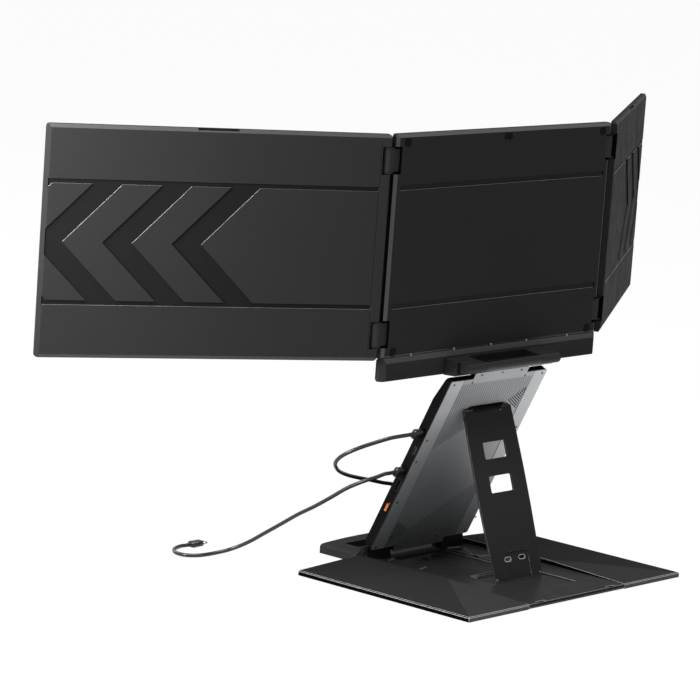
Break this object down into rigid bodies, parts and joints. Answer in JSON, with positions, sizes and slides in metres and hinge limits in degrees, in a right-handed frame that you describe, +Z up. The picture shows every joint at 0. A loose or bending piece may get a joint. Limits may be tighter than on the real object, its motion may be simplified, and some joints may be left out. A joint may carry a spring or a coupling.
{
  "type": "laptop screen extender",
  "caption": "Hinged monitor panels that widen a laptop's screen, on a folding kickstand base with a docking hub, a power switch and cables.",
  "frame": {"origin": "middle of the underside of the base's middle foot pad, on the table", "axes": "+Z up, the user sits on the -Y side, +X towards the left-hand end of the object as it is seen from behind"},
  "size_m": [0.8845, 0.3485, 0.4274],
  "materials": {
    "pad_rubber": "matt",
    "base_sheet": "fine matt black",
    "base_shell": "fine grained dark grey",
    "deck_shell": "fine grained dark grey with bright ridges",
    "tongue_shell": "fine grained dark grey",
    "bracket_metal": "satin black",
    "pin_steel": "bright",
    "catch_metal": "satin grey",
    "hub_shell": "satin black",
    "hub_plate": "silver grey with a dotted pattern",
    "circuit_board": "green solder mask",
    "socket_metal": "plain",
    "barrel_black": "glossy black",
    "switch_orange": "satin orange",
    "kickstand_metal": "satin black",
    "arm_metal": "satin black",
    "screen_shell": "fine grained dark grey",
    "screen_bezel": "fine matt black",
    "screen_panel": "dark display",
    "hinge_metal": "satin dark grey",
    "cable_black": "smooth black",
    "screw_black": "blackened",
    "plug_black": "satin dark grey"
  },
  "bodies": {
    "base": {"foot_pad_middle": "pad_rubber", "foot_pad_left": "pad_rubber", "foot_pad_right": "pad_rubber", "base_floor": "base_sheet", "base_deck": "deck_shell", "base_wing_left": "base_shell", "base_wing_right": "base_shell", "tongue": "tongue_shell", "tongue_well": "tongue_shell", "hub_bracket_left": "bracket_metal", "hub_bracket_right": "bracket_metal", "hub_hinge_pin": "pin_steel", "hub_pin_cap_left": "screw_black", "hub_pin_cap_right": "screw_black", "storage_hooks": "tongue_shell", "foot_catch": "catch_metal", "foot_rest": "deck_shell", "laptop_cable": "cable_black", "laptop_plug": "plug_black", "spare_cable": "cable_black", "spare_cable_coil": "cable_black", "spare_cable_end": "cable_black", "spare_plug": "plug_black"},
    "hub": {"hub_housing": "hub_shell", "hub_cover": "hub_plate", "hub_circuit_board": "circuit_board", "usb_c_socket_upper": "socket_metal", "usb_c_socket_free": "socket_metal", "usb_c_socket_lower": "socket_metal", "large_socket": "socket_metal", "hub_barrel": "barrel_black", "tilt_shaft": "pin_steel", "kickstand_clip": "bracket_metal", "hub_plug_upper": "plug_black", "hub_plug_lower": "plug_black"},
    "power_switch": {"power_switch": "switch_orange"},
    "kickstand": {"kickstand": "kickstand_metal", "kickstand_rivet_left": "pin_steel", "kickstand_rivet_right": "pin_steel"},
    "centre_screen": {"tilt_arms": "arm_metal", "chin_cover": "screen_shell", "centre_back": "screen_shell", "centre_display": "screen_panel", "centre_bezel": "screen_bezel", "centre_hinges_left": "hinge_metal", "centre_hinges_right": "hinge_metal"},
    "left_wing": {"left_wing_back": "screen_shell", "left_wing_display": "screen_panel", "left_wing_bezel": "screen_bezel", "left_wing_hinges": "hinge_metal", "left_wing_pins": "pin_steel"},
    "right_wing": {"right_wing_back": "screen_shell", "right_wing_display": "screen_panel", "right_wing_bezel": "screen_bezel", "right_wing_hinges": "hinge_metal", "right_wing_pins": "pin_steel"}
  },
  "joints": [
    {"name": "dock_tilt", "type": "hinge", "parent": "base", "child": "hub", "pos_m": [0, -0.1005, 0.0138], "axis": [-1, 0, 0], "range_deg": [-17.4, 13], "deforming": ["laptop_cable", "spare_cable"]},
    {"name": "kickstand_swing", "type": "hinge", "parent": "hub", "child": "kickstand", "pos_m": [0, -0.02215, 0.16053], "axis": [1, 0, 0], "range_deg": [-44.45, 33.5]},
    {"name": "screen_tilt", "type": "hinge", "parent": "hub", "child": "centre_screen", "pos_m": [0, 0.00318, 0.20775], "axis": [1, 0, 0], "range_deg": [-90, 4]},
    {"name": "left_wing_fold", "type": "hinge", "parent": "centre_screen", "child": "left_wing", "pos_m": [0.165, -0.02792, 0.3234], "axis": [0, 0, -1], "range_deg": [-29.7, 150.3]},
    {"name": "right_wing_fold", "type": "hinge", "parent": "centre_screen", "child": "right_wing", "pos_m": [-0.165, -0.03152, 0.3234], "axis": [0, 0, 1], "range_deg": [-31.6, 148.4]},
    {"name": "power_switch_slide", "type": "slide", "parent": "hub", "child": "power_switch", "axis": [0, 0.4226, 0.9063], "range_m": [-0.0015, 0.0015]}
  ],
  "couplings": [
    {"joint": "kickstand_swing", "follows": "dock_tilt", "ratio": 2.55}
  ]
}
